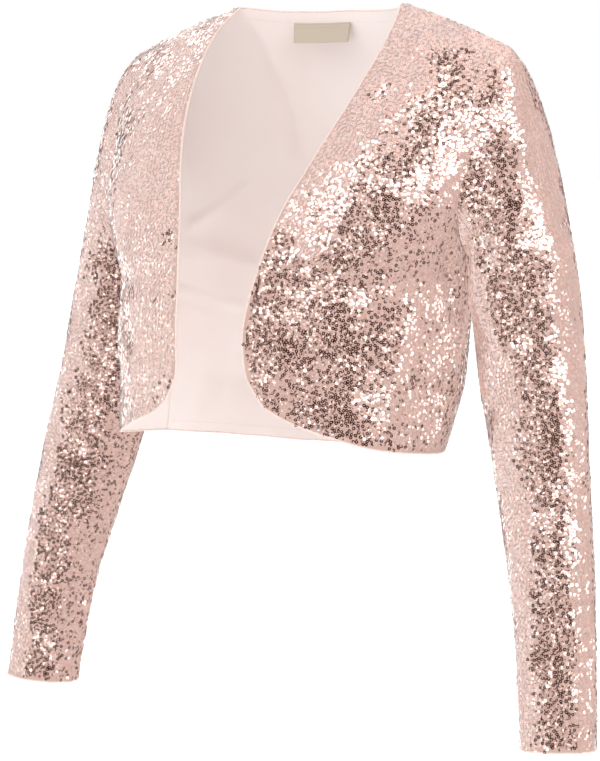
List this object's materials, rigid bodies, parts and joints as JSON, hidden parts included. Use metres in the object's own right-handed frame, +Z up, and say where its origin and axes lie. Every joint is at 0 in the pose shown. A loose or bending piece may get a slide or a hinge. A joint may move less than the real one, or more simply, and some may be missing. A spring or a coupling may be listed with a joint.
{
  "type": "sequin shrug",
  "caption": "Cropped open-fronted evening shrug with long set-in sleeves, sequin cloth outside and a satin lined back, holding the round form of its wearer.",
  "frame": {"origin": "midway between the two points where the shoulder seams meet the neckline, where a wearer or a hanger holds the garment", "axes": "+Z up, -Y towards the wearer's front, +X towards the wearer's left"},
  "size_m": [0.6086, 0.2502, 0.6094],
  "materials": {
    "sequin_cloth": "rose gold sequins on mesh",
    "satin_lining": "soft satin",
    "woven_label": "plain woven tape"
  },
  "bodies": {
    "root": {"back": "sequin_cloth", "front_left": "sequin_cloth", "front_right": "sequin_cloth", "sleeve_left": "sequin_cloth", "sleeve_right": "sequin_cloth", "lining_back": "satin_lining", "label": "woven_label"}
  },
  "joints": []
}
